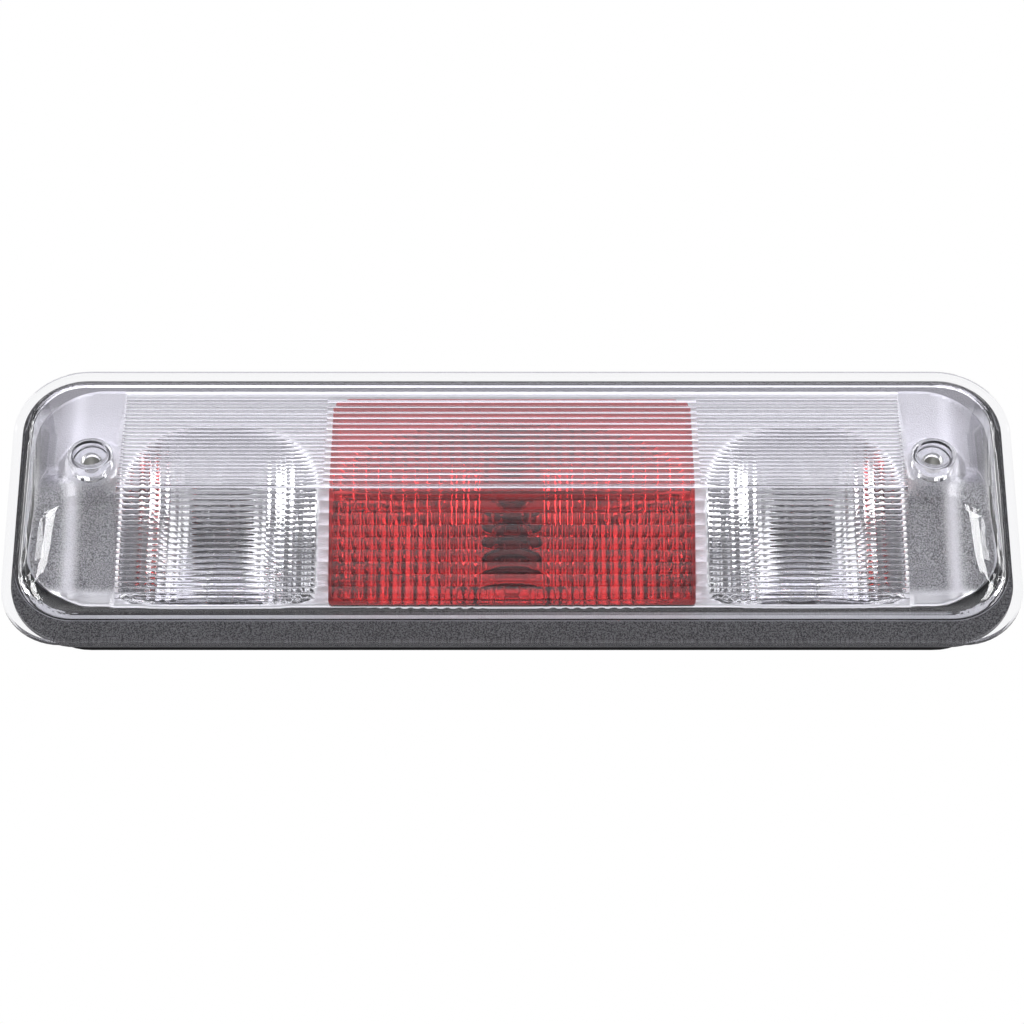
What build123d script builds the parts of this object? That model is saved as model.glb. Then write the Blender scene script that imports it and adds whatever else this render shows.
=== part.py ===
"""Third brake light: a raked clear lens over a red stop section and two cargo-light sections.

The lamp is modelled lying on its back, with X along it, Y up the flange and Z out of the panel,
then stood upright: +X along the lamp, +Z up, -Y out towards the road. The origin is midway
between the two mounting screws, on the plane of the body panel. Millimetres.
"""
import os
from math import cos, radians, tan

from build123d import *

# Flange outline, measured about the middle of the flange
FLANGE_LENGTH = 372.0
FLANGE_HEIGHT = 115.5
FLANGE_TOP_CORNER = 27.0
FLANGE_FOOT_CORNER = 23.0

# Stack of layers, going out from the body panel
GASKET_THICKNESS = 3.4
HOUSING_FLANGE = 2.5
LENS_WALL = 2.5
REFLECTOR_WALL = 1.8
FLANGE_BACK = GASKET_THICKNESS + HOUSING_FLANGE
FLANGE_FRONT = FLANGE_BACK + LENS_WALL
REFLECTOR_FRONT = FLANGE_BACK + REFLECTOR_WALL

# Dome of the lens: outline where it leaves the flange, and its side profile
DOME_LENGTH = 363.0
DOME_FOOT = -48.2
DOME_HEAD = 53.0
DOME_CORNER = 22.0
DOME_DRAFT = 16.0
DOME_ROUND = 5.0
ROUND_SHARE = 0.7
END_RIDGE_ROUND = 24.0
RIDGE_HEIGHT = -4.2
RIDGE_OUT = 29.0
FACE_FOOT = (-46.9, 12.7)
SLOPE_HEAD = (51.5, 10.5)

# Optic zones of the lens
STOP_HALF_WIDTH = 68.7
CARGO_INNER = 71.3
CARGO_OUTER = 143.8
FINE_RIB = 2.0
FINE_RIB_DEPTH = 0.5
FINE_SLOPE_RIB_DEPTH = 0.3
SLOPE_RIB = 3.0
SLOPE_RIB_DEPTH = 0.65
FACE_RIB = 4.5
FACE_RIB_DEPTH = 0.55
LADDER_DEPTH = 0.35
RIB_BEDDING = 0.6

# Red filter under the stop zone
FILTER_HALF_WIDTH = 66.6
FILTER_FOOT = -42.9
FILTER_HEAD = 43.6
FILTER_CORNER = 6.0
FILTER_WALL = 1.8
FILTER_DEPTH = 5.0

# Reflector bowls
BOWL_FOOT = -42.3
BOWL_HEAD = 30.8
BOWL_BACK = -14.5
BOWL_FLARE = 36.0
BOWL_CORNER = 7.0
BOWL_ARCH = 34.0
BOWL_SKIN = 1.5
STOP_BOWL_HALF = 66.0
CARGO_BOWL_INNER = 73.0
CARGO_BOWL_OUTER = 143.5
BULB_OPENING = 11.5
REFLECTOR_INSET = 5.2
TOWER_RADIUS = 9.3
TOWER_TOP = 14.9
TOWER_CLEARANCE = 0.8
RIDGE_FOOT_RADIUS = 3.0
RIDGE_HEAD_RADIUS = 7.4
RIDGE_FOOT = -42.4
RIDGE_OUTSET = 6.0

# Housing
TUB_LENGTH = 295.0
TUB_FOOT = -45.9
TUB_HEAD = 35.4
TUB_BACK = -20.0
TUB_WALL = 2.5
TUB_CORNER = 11.0
TUB_ROUND = 3.0
BACK_RIB = 1.6
BACK_RIB_HEIGHT = 2.0
BACK_RIB_LENGTH = 70.0
CROSS_RIB_LENGTH = 156.0
CROSS_RIB_OFFSET = 26.0
BACK_RIBS = (33.0, 53.85, 74.7, 132.0)
SOCKET_PAD = 20.0
HOUSING_SIDE_INSET = 3.4
HOUSING_HEAD_INSET = 3.6
HOUSING_FOOT_INSET = 0.5

# Gasket ring
GASKET_LENGTH = 346.0
GASKET_FOOT = -57.0
GASKET_HEAD = 53.8
GASKET_CORNER = 20.0
GASKET_WIDTH = 8.6
GASKET_HEAD_WIDTH = 6.4

# Mounting screws
SCREW_SPAN = 310.0
SCREW_HEIGHT = 13.0
SCREW_RECESS = 6.5
RECESS_FLOOR = 17.8
SLEEVE_BORE = 3.0
SLEEVE_OUTER = 4.0
BOSS_RADIUS = 6.5
LENS_SCREW_HOLE = 3.3

# Sealing bead between lens and housing
BEAD_WIDTH = 2.0
BEAD_HEIGHT = 1.0
BEAD_CLEARANCE = 0.1

# Twist-lock bulb sockets
SECTIONS = {"left": -107.7, "stop": 0.0, "right": 107.7}
BULB_HEIGHT = -6.0
NECK_RADIUS = 10.0
NECK_CLEARANCE = 0.25
NECK_FRONT = -13.0
LUG_RADIUS = 12.6
LUG_THICKNESS = 1.8
LUG_ANGLES = (90.0, 210.0, 330.0)
LUG_WIDTHS = (7.0, 5.0, 5.0)
LOCK_TURN = 40.0
SEAL_RADIUS = 14.0
SEAL_THICKNESS = 2.4
SOCKET_FLANGE_RADIUS = 15.5
SOCKET_FLANGE_THICKNESS = 3.0
GRIP_LENGTH = 36.0
GRIP_THICKNESS = 4.0
GRIP_DEPTH = 11.0
SLOT_WIDTH = 12.4
SLOT_GAP = 6.9
SLOT_FLOOR = -26.0
SHROUD_LENGTH = 19.0
SHROUD_WIDTH = 13.0
SHROUD_WALL = 1.8
SHROUD_END = -48.0
SHROUD_FLOOR = -30.0

# Contacts of a socket
BLADE_WIDTH = 2.8
BLADE_THICKNESS = 0.8
BLADE_OFFSET = 3.4
BLADE_END = -41.0
SPRING_THICKNESS = 0.65
SPRING_END = -16.5

# Wedge-base bulb
BULB_RADIUS = 7.6
BULB_TIP = 12.5
BULB_SHOULDER = -12.9
BULB_FLARE = 3.0
BULB_GLASS = 0.9
WEDGE_WIDTH = 10.4
WEDGE_THICKNESS = 5.4
WEDGE_END = -24.6
LEAD_RADIUS = 0.35
LEAD_SPACING = 5.6
FILAMENT_OUT = 1.0
FILAMENT_RADIUS = 0.6

# Breather patch over the vent hole
BREATHER_RADIUS = 5.0
BREATHER_THICKNESS = 0.5
BREATHER_AT = (43.4, -6.0)
VENT_RADIUS = 1.0

FAR = 400.0


def upright(shape):
    """Stands a shape modelled on its back upright, with the origin between the screws."""
    return Rot(90, 0, 0) * Pos(0, -SCREW_HEIGHT, 0) * shape


def rounded_outline(length, foot, head, foot_corner, head_corner):
    """Flat outline with one radius at its two foot corners and another at its head corners."""
    flat = Pos(0, (foot + head) / 2) * Rectangle(length, head - foot)
    corners = flat.vertices().sort_by(Axis.Y)
    flat = fillet(corners[:2], foot_corner)
    corners = flat.vertices().group_by(Axis.Y)[-1]
    return fillet(corners, head_corner)


def slab(outline, low, high):
    """Straight-sided solid of an outline between two heights above the panel."""
    return extrude(Pos(0, 0, low) * outline, high - low)


def profile_line(start, end, inset):
    """Unit direction and inset start of one straight stretch of the lens's side profile."""
    along = (Vector(*end) - Vector(*start)).normalized()
    inward = Vector(along.Y, -along.X)
    if inward.Y > 0:
        inward = inward * -1
    return Vector(*start) + inward * inset, along, inward


def ridge_point(inset):
    """Point where the inset face and slope of the lens profile meet."""
    ridge = (RIDGE_HEIGHT, RIDGE_OUT)
    foot, face, _ = profile_line(FACE_FOOT, ridge, inset)
    head, slope, _ = profile_line(SLOPE_HEAD, ridge, inset)
    reach = ((head.X - foot.X) * slope.Y - (head.Y - foot.Y) * slope.X) / (
        face.X * slope.Y - face.Y * slope.X
    )
    return foot + face * reach


def under_profile(inset, half_length):
    """Everything behind the bent front of the lens, set in by a wall thickness."""
    ridge = ridge_point(inset)
    _, face, _ = profile_line(FACE_FOOT, (RIDGE_HEIGHT, RIDGE_OUT), inset)
    _, slope, _ = profile_line(SLOPE_HEAD, (RIDGE_HEIGHT, RIDGE_OUT), inset)
    foot = ridge - face * 90
    head = ridge - slope * 100
    side = Polyline(
        (foot.X, foot.Y), (ridge.X, ridge.Y), (head.X, head.Y),
        (head.X, -40), (foot.X, -40), close=True,
    )
    face_plane = Plane(origin=(-half_length, 0, 0), x_dir=(0, 1, 0), z_dir=(1, 0, 0))
    return extrude(face_plane * make_face(side), 2 * half_length)


def is_shared(edge, faces):
    """Whether an edge lies between two of the faces."""
    middle = edge.position_at(0.5)
    touching = [face for face in faces if face.distance_to(middle) < 0.001]
    return len(touching) > 1


def domed_block(inset, ridge_round):
    """Solid inside the dome walls and behind its bent front, with the front's rim rounded."""
    drop = 20.0
    spread = drop * tan(radians(DOME_DRAFT))
    outline = rounded_outline(
        DOME_LENGTH - 2 * inset + 2 * spread,
        DOME_FOOT + inset - spread,
        DOME_HEAD - inset + spread,
        DOME_CORNER - inset + spread,
        DOME_CORNER - inset + spread,
    )
    walls = extrude(Pos(0, 0, FLANGE_FRONT - drop) * outline, 60, taper=DOME_DRAFT)
    solid = walls & under_profile(inset, FAR / 2)
    ridge = ridge_point(inset)
    front_count = 2
    if ridge_round > 0:
        crest = [
            edge for edge in solid.edges()
            if abs(edge.center().Y - ridge.X) < 0.01 and abs(edge.center().Z - ridge.Y) < 0.01
        ]
        solid = fillet(crest, ridge_round - inset)
        front_count = 3
    front = solid.faces().sort_by(Axis.Z)[-front_count:]
    rim = [edge for edge in front.edges() if not is_shared(edge, front)]
    return fillet(rim, DOME_ROUND - inset * ROUND_SHARE)


def dome(inset):
    """Solid inside the dome: a crisp ridge over the optic zones and a soft one over the ends."""
    crisp = domed_block(inset, 0) & Box(2 * CARGO_OUTER, FAR, FAR)
    soft = domed_block(inset, END_RIDGE_ROUND) - Box(2 * CARGO_OUTER, FAR, FAR)
    return crisp + soft


def above(low):
    """Block that holds everything further out than a height."""
    return Pos(0, 0, low + 100) * Box(FAR * 2, FAR, 200)


def behind(high):
    """Block that holds everything nearer the panel than a height."""
    return Pos(0, 0, high - 100) * Box(FAR * 2, FAR, 200)


def rib_bank(start, end, pitch, depth, low_u, high_u):
    """Bank of half-round ribs on the inner surface between two points of the profile."""
    start, end = Vector(*start), Vector(*end)
    along = (end - start).normalized()
    inward = Vector(along.Y, -along.X)
    if inward.Y > 0:
        inward = inward * -1
    count = int((end - start).length / pitch)
    span = (end - start).length / count
    knots = [start + along * (span * i) for i in range(count + 1)]
    edges = []
    for near, far in zip(knots, knots[1:]):
        crest = (near + far) * 0.5 + inward * depth
        edges.append(ThreePointArc((near.X, near.Y), (crest.X, crest.Y), (far.X, far.Y)))
    bed_end = knots[-1] - inward * RIB_BEDDING
    bed_start = knots[0] - inward * RIB_BEDDING
    edges.append(Line((knots[-1].X, knots[-1].Y), (bed_end.X, bed_end.Y)))
    edges.append(Line((bed_end.X, bed_end.Y), (bed_start.X, bed_start.Y)))
    edges.append(Line((bed_start.X, bed_start.Y), (knots[0].X, knots[0].Y)))
    side = Plane(origin=(low_u, 0, 0), x_dir=(0, 1, 0), z_dir=(1, 0, 0))
    return extrude(side * make_face(Wire(edges)), high_u - low_u)


def zone_ribs(low_u, high_u, slope_pitch, slope_depth, face_pitch, face_depth):
    """Ribs of one optic zone: a bank on the slope and a bank on the front face."""
    ridge = ridge_point(LENS_WALL)
    _, face, _ = profile_line(FACE_FOOT, (RIDGE_HEIGHT, RIDGE_OUT), LENS_WALL)
    _, slope, _ = profile_line(SLOPE_HEAD, (RIDGE_HEIGHT, RIDGE_OUT), LENS_WALL)
    face_start = ridge - face * 40.5
    slope_start = ridge - slope * 50.5
    lower = rib_bank(
        (face_start.X, face_start.Y), (ridge.X, ridge.Y), face_pitch, face_depth, low_u, high_u
    )
    upper = rib_bank(
        (slope_start.X, slope_start.Y), (ridge.X, ridge.Y), slope_pitch, slope_depth, low_u, high_u
    )
    return lower + upper


def at_screws(shape):
    """The same shape at both mounting screws."""
    return [Pos(side * SCREW_SPAN / 2, SCREW_HEIGHT, 0) * shape for side in (-1, 1)]


def upward_cylinder(radius, low, high):
    """Round solid standing out of the panel between two heights."""
    return Pos(0, 0, (low + high) / 2) * Cylinder(radius, high - low)


def flange_outline():
    """Outline of the lens flange."""
    return rounded_outline(
        FLANGE_LENGTH, -FLANGE_HEIGHT / 2, FLANGE_HEIGHT / 2, FLANGE_FOOT_CORNER, FLANGE_TOP_CORNER
    )


def outer_lens():
    """Clear lens: flange, hollow dome, ribbed optic zones and two screw recesses."""
    outside = dome(0)
    flange = slab(flange_outline(), FLANGE_BACK, FLANGE_FRONT)
    flange = chamfer(flange.faces().sort_by(Axis.Z)[-1].edges(), 0.6)
    shell = flange + (outside & above(FLANGE_BACK))
    shell -= dome(LENS_WALL)
    for wall in at_screws(upward_cylinder(SCREW_RECESS + 1.8, RECESS_FLOOR - LENS_WALL, 40)):
        shell += wall & outside
    for recess in at_screws(upward_cylinder(SCREW_RECESS, RECESS_FLOOR, 40)):
        shell -= recess
    for hole in at_screws(upward_cylinder(LENS_SCREW_HOLE, 0, 40)):
        shell -= hole
    shell += zone_ribs(
        -STOP_HALF_WIDTH, STOP_HALF_WIDTH, SLOPE_RIB, SLOPE_RIB_DEPTH, FACE_RIB, FACE_RIB_DEPTH
    )
    for low_u, high_u in ((-CARGO_OUTER, -CARGO_INNER), (CARGO_INNER, CARGO_OUTER)):
        shell += zone_ribs(
            low_u, high_u, FINE_RIB, FINE_SLOPE_RIB_DEPTH, FINE_RIB, FINE_RIB_DEPTH
        )
    for low_u, high_u in ((-CARGO_INNER, -STOP_HALF_WIDTH), (STOP_HALF_WIDTH, CARGO_INNER)):
        shell += zone_ribs(
            low_u, high_u, FINE_RIB, FINE_SLOPE_RIB_DEPTH, FACE_RIB, LADDER_DEPTH
        )
    return shell


def red_filter():
    """Red hood under the stop zone, open at its back."""
    outline = rounded_outline(
        2 * FILTER_HALF_WIDTH, FILTER_FOOT, FILTER_HEAD, 1.5, FILTER_CORNER
    )
    hollow = rounded_outline(
        2 * (FILTER_HALF_WIDTH - FILTER_WALL), FILTER_FOOT + FILTER_WALL,
        FILTER_HEAD - FILTER_WALL, 0.8, FILTER_CORNER - FILTER_WALL,
    )
    seat = REFLECTOR_FRONT + 0.05
    hood = slab(outline, seat, 40) & under_profile(FILTER_DEPTH, FAR / 2)
    inside = slab(hollow, seat - 1, 40) & under_profile(FILTER_DEPTH + FILTER_WALL, FAR / 2)
    return hood - inside


def bowl_solid(low_u, high_u, inset):
    """Flared pocket of one bowl with an arched head, grown all round to give its outer skin."""
    grow = inset / cos(radians(BOWL_FLARE))
    outline = rounded_outline(
        high_u - low_u + 2 * grow, BOWL_FOOT - grow, BOWL_HEAD + grow,
        BOWL_CORNER + grow, BOWL_ARCH + grow,
    )
    depth = REFLECTOR_FRONT - BOWL_BACK + inset - BOWL_SKIN
    return extrude(
        Pos((low_u + high_u) / 2, 0, REFLECTOR_FRONT) * outline, -depth, taper=BOWL_FLARE
    )


def end_ridge():
    """Half-round ridge that runs from the foot of the reflector up to a screw tower."""
    length = SCREW_HEIGHT - RIDGE_FOOT
    cone = Rot(-90, 0, 0) * Cone(RIDGE_FOOT_RADIUS, RIDGE_HEAD_RADIUS, length)
    return Pos(0, RIDGE_FOOT + length / 2, REFLECTOR_FRONT - 0.5) * cone


def reflector():
    """Metallised reflector: a plate with three flared bowls, two screw towers and end ridges."""
    outline = rounded_outline(
        DOME_LENGTH - 2 * REFLECTOR_INSET, DOME_FOOT + REFLECTOR_INSET,
        DOME_HEAD - REFLECTOR_INSET, DOME_CORNER, DOME_CORNER,
    )
    shell = slab(outline, FLANGE_BACK, REFLECTOR_FRONT)
    bowls = [
        (-CARGO_BOWL_OUTER, -CARGO_BOWL_INNER),
        (-STOP_BOWL_HALF, STOP_BOWL_HALF),
        (CARGO_BOWL_INNER, CARGO_BOWL_OUTER),
    ]
    for low_u, high_u in bowls:
        shell += bowl_solid(low_u, high_u, BOWL_SKIN) & behind(REFLECTOR_FRONT)
    for side in (-1, 1):
        ridge = Pos(side * (SCREW_SPAN / 2 + RIDGE_OUTSET), 0, 0) * end_ridge()
        shell += ridge & above(REFLECTOR_FRONT - 0.5)
    for tower in at_screws(upward_cylinder(TOWER_RADIUS, FLANGE_BACK, TOWER_TOP)):
        shell += tower
    for low_u, high_u in bowls:
        shell -= bowl_solid(low_u, high_u, 0)
    for along in SECTIONS.values():
        shell -= Pos(along, BULB_HEIGHT, 0) * upward_cylinder(BULB_OPENING, -30, 0)
    for hole in at_screws(upward_cylinder(BOSS_RADIUS + TOWER_CLEARANCE, 0, 20)):
        shell -= hole
    return shell


def housing_outline():
    """Outline of the housing flange: narrower than the lens flange except along the foot."""
    return rounded_outline(
        FLANGE_LENGTH - 2 * HOUSING_SIDE_INSET, -FLANGE_HEIGHT / 2 + HOUSING_FOOT_INSET,
        FLANGE_HEIGHT / 2 - HOUSING_HEAD_INSET, FLANGE_FOOT_CORNER + 2, DOME_CORNER + 1,
    )


def bead_ring(clearance):
    """Ring of the sealing bead under the wall of the dome."""
    middle = LENS_WALL / 2
    half = BEAD_WIDTH / 2 + clearance

    def ring_outline(inset):
        return rounded_outline(
            DOME_LENGTH - 2 * inset, DOME_FOOT + inset, DOME_HEAD - inset,
            DOME_CORNER - inset, DOME_CORNER - inset,
        )

    ring = ring_outline(middle - half) - ring_outline(middle + half)
    return slab(ring, FLANGE_BACK - BEAD_HEIGHT - clearance, FLANGE_BACK)


def lock_notch():
    """Notches of one socket hole, turned back from the lugs by the locking turn."""
    notches = []
    for angle, width in zip(LUG_ANGLES, LUG_WIDTHS):
        bar = Pos(LUG_RADIUS / 2 + 0.3, 0, 0) * Box(LUG_RADIUS + 0.6, width + 0.8, 20)
        notches.append(Rot(0, 0, angle - LOCK_TURN) * bar)
    round_limit = Cylinder(LUG_RADIUS + 0.4, 20)
    return [notch & round_limit for notch in notches]


def back_ribs():
    """Stiffening ribs on the back of the tub."""
    root = 0.5
    height = BACK_RIB_HEIGHT + root
    middle = TUB_BACK + root - height / 2
    ribs = []
    for side in (-1, 1):
        for along in BACK_RIBS:
            rib = Box(BACK_RIB, BACK_RIB_LENGTH, height)
            ribs.append(Pos(side * along, BULB_HEIGHT, middle) * rib)
        for up in (-CROSS_RIB_OFFSET, CROSS_RIB_OFFSET):
            rib = Box(CROSS_RIB_LENGTH, BACK_RIB, height)
            ribs.append(Pos(side * BACK_RIBS[1], BULB_HEIGHT + up, middle) * rib)
    return ribs


def housing():
    """Dark housing: a flange, a tub through the panel, screw bosses and socket holes."""
    body = slab(housing_outline(), GASKET_THICKNESS, FLANGE_BACK)
    tub = rounded_outline(TUB_LENGTH, TUB_FOOT, TUB_HEAD, TUB_CORNER, TUB_CORNER)
    body += slab(tub, TUB_BACK, GASKET_THICKNESS)
    body = fillet(body.faces().sort_by(Axis.Z)[0].edges(), TUB_ROUND)
    hollow = rounded_outline(
        TUB_LENGTH - 2 * TUB_WALL, TUB_FOOT + TUB_WALL, TUB_HEAD - TUB_WALL,
        TUB_CORNER - TUB_WALL, TUB_CORNER - TUB_WALL,
    )
    body -= slab(hollow, TUB_BACK + TUB_WALL, 20)
    for rib in back_ribs():
        body += rib
    for boss in at_screws(upward_cylinder(BOSS_RADIUS, 0.4, RECESS_FLOOR - LENS_WALL - 0.1)):
        body += boss
    for bore in at_screws(upward_cylinder(SLEEVE_OUTER + 0.05, -1, 30)):
        body -= bore
    body -= bead_ring(BEAD_CLEARANCE)
    for along in SECTIONS.values():
        centre = Pos(along, BULB_HEIGHT, TUB_BACK)
        body -= centre * Cylinder(NECK_RADIUS + NECK_CLEARANCE, 20)
        for notch in lock_notch():
            body -= centre * notch
        body -= centre * upward_cylinder(SOCKET_PAD, -10, 0)
    body -= Pos(*BREATHER_AT, TUB_BACK) * Cylinder(VENT_RADIUS, 20)
    return body


def mounting_gasket():
    """Foam ring that seals the housing flange to the panel."""
    outer = rounded_outline(
        GASKET_LENGTH, GASKET_FOOT, GASKET_HEAD, GASKET_CORNER, GASKET_CORNER
    )
    inner_corner = GASKET_CORNER - GASKET_WIDTH
    inner = rounded_outline(
        GASKET_LENGTH - 2 * GASKET_WIDTH, GASKET_FOOT + GASKET_WIDTH,
        GASKET_HEAD - GASKET_HEAD_WIDTH, inner_corner, inner_corner,
    )
    return slab(outer - inner, 0, GASKET_THICKNESS)


def screw_sleeves():
    """Steel sleeves that carry the clamping load of the screws to the panel."""
    high = RECESS_FLOOR - LENS_WALL - 0.05
    tube = upward_cylinder(SLEEVE_OUTER, 0, high) - upward_cylinder(SLEEVE_BORE, -1, high + 1)
    return Compound(children=at_screws(tube))


def contacts():
    """Pair of brass contacts: a blade in the inlet and a spring beside the bulb's wedge."""
    pair = []
    for side in (-1, 1):
        across = side * BLADE_OFFSET
        foot_low, foot_high = SLOT_FLOOR - 1.5, SLOT_FLOOR - 1.5 + BLADE_THICKNESS
        blade = Pos(across, 0, (BLADE_END + foot_high) / 2) * Box(
            BLADE_WIDTH, BLADE_THICKNESS, foot_high - BLADE_END
        )
        reach = SLOT_GAP / 2
        foot = Pos(across, side * reach / 2, (foot_low + foot_high) / 2) * Box(
            BLADE_WIDTH, reach, BLADE_THICKNESS
        )
        spring = Pos(
            across, side * (reach - SPRING_THICKNESS / 2), (foot_low + SPRING_END) / 2
        ) * Box(BLADE_WIDTH, SPRING_THICKNESS, SPRING_END - foot_low)
        pair.append(blade + foot + spring)
    return pair


def socket():
    """Twist-lock socket: neck with lugs, flange, finger grip and a shrouded blade inlet."""
    flange_front = TUB_BACK - SEAL_THICKNESS - 0.1
    flange_back = flange_front - SOCKET_FLANGE_THICKNESS
    body = upward_cylinder(NECK_RADIUS, flange_front - 1, NECK_FRONT)
    lug_low = TUB_BACK + TUB_WALL + 0.2
    for angle, width in zip(LUG_ANGLES, LUG_WIDTHS):
        lug = Pos(LUG_RADIUS / 2, 0, lug_low + LUG_THICKNESS / 2) * Box(
            LUG_RADIUS, width, LUG_THICKNESS
        )
        body += (Rot(0, 0, angle) * lug) & upward_cylinder(LUG_RADIUS, -30, 0)
    disc = upward_cylinder(SOCKET_FLANGE_RADIUS, flange_back, flange_front)
    body += fillet(disc.edges().sort_by(Axis.Z)[:1], 0.8)
    shroud = slab(RectangleRounded(SHROUD_LENGTH, SHROUD_WIDTH, 2.5), SHROUD_END, flange_back + 1)
    body += shroud
    grip_low = flange_back - GRIP_DEPTH
    grip = slab(RectangleRounded(GRIP_LENGTH, GRIP_THICKNESS, 1.9), grip_low, flange_back + 1)
    limit = upward_cylinder(SOCKET_FLANGE_RADIUS + 1.5, grip_low, flange_front)
    body += grip & limit
    latch = Pos(0, SHROUD_WIDTH / 2 + 0.8, SHROUD_END + 6) * Box(5.0, 1.8, 3.0)
    body += latch
    slot = slab(RectangleRounded(SLOT_WIDTH, SLOT_GAP, 0.8), SLOT_FLOOR, 0)
    inlet = slab(
        RectangleRounded(SHROUD_LENGTH - 2 * SHROUD_WALL, SHROUD_WIDTH - 2 * SHROUD_WALL, 1.0),
        SHROUD_END - 1, SHROUD_FLOOR,
    )
    body = body - slot - inlet
    for contact in contacts():
        body -= contact
    return body


def socket_seal():
    """Rubber ring squeezed between a socket's flange and the back of the housing."""
    low, high = TUB_BACK - SEAL_THICKNESS - 0.1, TUB_BACK - 0.1
    ring = upward_cylinder(SEAL_RADIUS, low, high) - upward_cylinder(NECK_RADIUS + 0.1, low, high)
    return ring


def bulb():
    """Hollow glass bulb on a flat wedge base."""
    waist = WEDGE_THICKNESS / 2
    flare_top = BULB_SHOULDER + BULB_FLARE
    dome_start = BULB_TIP - BULB_RADIUS
    outline = [
        Line((0, BULB_TIP), (0, BULB_SHOULDER)),
        Line((0, BULB_SHOULDER), (waist, BULB_SHOULDER)),
        Line((waist, BULB_SHOULDER), (BULB_RADIUS, flare_top)),
        Line((BULB_RADIUS, flare_top), (BULB_RADIUS, dome_start)),
        RadiusArc((BULB_RADIUS, dome_start), (0, BULB_TIP), -BULB_RADIUS),
    ]
    outside = revolve(Plane.XZ * make_face(Wire(outline)))
    inner = BULB_RADIUS - BULB_GLASS
    hollow = upward_cylinder(inner, flare_top, dome_start)
    hollow += Pos(0, 0, dome_start) * Sphere(inner)
    wedge_top = flare_top - 1.0
    wedge = Pos(0, 0, (WEDGE_END + wedge_top) / 2) * Box(
        WEDGE_WIDTH, WEDGE_THICKNESS, wedge_top - WEDGE_END
    )
    return outside + wedge - hollow


def filament():
    """Support wires and filament inside one bulb."""
    foot = BULB_SHOULDER + BULB_FLARE
    wires = []
    for side in (-1, 1):
        wires.append(
            Pos(side * LEAD_SPACING / 2, 0, 0) * upward_cylinder(LEAD_RADIUS, foot, FILAMENT_OUT)
        )
    bar = Pos(0, 0, FILAMENT_OUT) * Rot(0, 90, 0) * Cylinder(FILAMENT_RADIUS, LEAD_SPACING + 1.0)
    return wires[0] + wires[1] + bar


def breather_patch():
    """Membrane stuck over the vent hole in the back of the housing."""
    low = TUB_BACK - BREATHER_THICKNESS
    return Pos(*BREATHER_AT, 0) * upward_cylinder(BREATHER_RADIUS, low, TUB_BACK)


def write(name, shape):
    """Writes one sub-part upright."""
    export_step(upright(shape), f"parts/{name}.step")


def main():
    """Builds and writes every sub-part."""
    os.makedirs("parts", exist_ok=True)
    write("outer_lens", outer_lens())
    write("red_filter", red_filter())
    write("reflector", reflector())
    write("housing", housing())
    write("mounting_gasket", mounting_gasket())
    write("lens_seal", bead_ring(0))
    write("screw_sleeves", screw_sleeves())
    write("breather_patch", breather_patch())
    for section, along in SECTIONS.items():
        place = Pos(along, BULB_HEIGHT, 0)
        write(f"{section}_socket", place * socket())
        write(f"{section}_socket_seal", place * socket_seal())
        write(f"{section}_contacts", place * Compound(children=contacts()))
        write(f"{section}_bulb", place * bulb())
        write(f"{section}_filament", place * filament())


main()
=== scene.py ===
"""Third brake light: clear ribbed lens, red stop filter, bright fluted reflector and its sockets.

Lengths are metres. A place on the lamp is given as (along, up, out): along the lamp, up its
flange from the flange's middle, and out from the body panel.
"""

import logging
import math
from dataclasses import dataclass, field
from enum import Enum

import bmesh
import bpy
from mathutils import Matrix, Vector

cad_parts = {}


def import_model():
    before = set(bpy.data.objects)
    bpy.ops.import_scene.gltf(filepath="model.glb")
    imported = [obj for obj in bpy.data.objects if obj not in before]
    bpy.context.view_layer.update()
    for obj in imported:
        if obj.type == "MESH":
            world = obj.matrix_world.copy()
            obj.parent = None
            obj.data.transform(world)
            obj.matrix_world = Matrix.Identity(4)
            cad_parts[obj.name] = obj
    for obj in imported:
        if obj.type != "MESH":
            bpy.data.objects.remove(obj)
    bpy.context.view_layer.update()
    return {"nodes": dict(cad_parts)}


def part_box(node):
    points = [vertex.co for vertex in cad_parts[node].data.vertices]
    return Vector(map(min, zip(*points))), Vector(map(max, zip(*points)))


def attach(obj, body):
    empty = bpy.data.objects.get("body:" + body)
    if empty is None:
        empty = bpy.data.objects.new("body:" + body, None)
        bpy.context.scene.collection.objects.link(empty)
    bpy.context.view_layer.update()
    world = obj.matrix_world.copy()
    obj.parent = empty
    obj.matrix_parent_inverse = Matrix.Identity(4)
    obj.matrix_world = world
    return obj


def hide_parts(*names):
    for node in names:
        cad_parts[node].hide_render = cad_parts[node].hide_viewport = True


log = logging.getLogger("third_brake_light")

Node = bpy.types.Node
Socket = bpy.types.NodeSocket
Colour = tuple[float, float, float]
Span = tuple[float, float]

WELD_DISTANCE = 1e-6
CUT_TOLERANCE = 1e-7
WHITE: Colour = (1.0, 1.0, 1.0)


class Section(Enum):
    """The three lamp sections, named as their CAD nodes are."""

    LEFT = "left"
    STOP = "stop"
    RIGHT = "right"


class Relief(Enum):
    """Surface relief of a moulded, foamed or drawn finish."""

    POLISHED = "polished"
    GRAINED = "grained"
    FOAMED = "foamed"


# ---------------------------------------------------------------- outlines and places


@dataclass(frozen=True)
class LampFrame:
    """Turns lamp places (along, up, out) into the frame of the CAD model."""

    middle: float

    @classmethod
    def from_lens(cls) -> "LampFrame":
        """Takes the height of the flange's middle from the CAD lens."""
        low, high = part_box("outer_lens")
        return cls(middle=(low.z + high.z) / 2)

    def point(self, along: float, up: float, out: float) -> Vector:
        """Gives a lamp place as a point.

        Args:
            along: Place along the lamp.
            up: Height up the flange from its middle.
            out: Distance out from the body panel.

        Returns:
            The point in the CAD frame.
        """
        return Vector((along, -out, up + self.middle))


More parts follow.
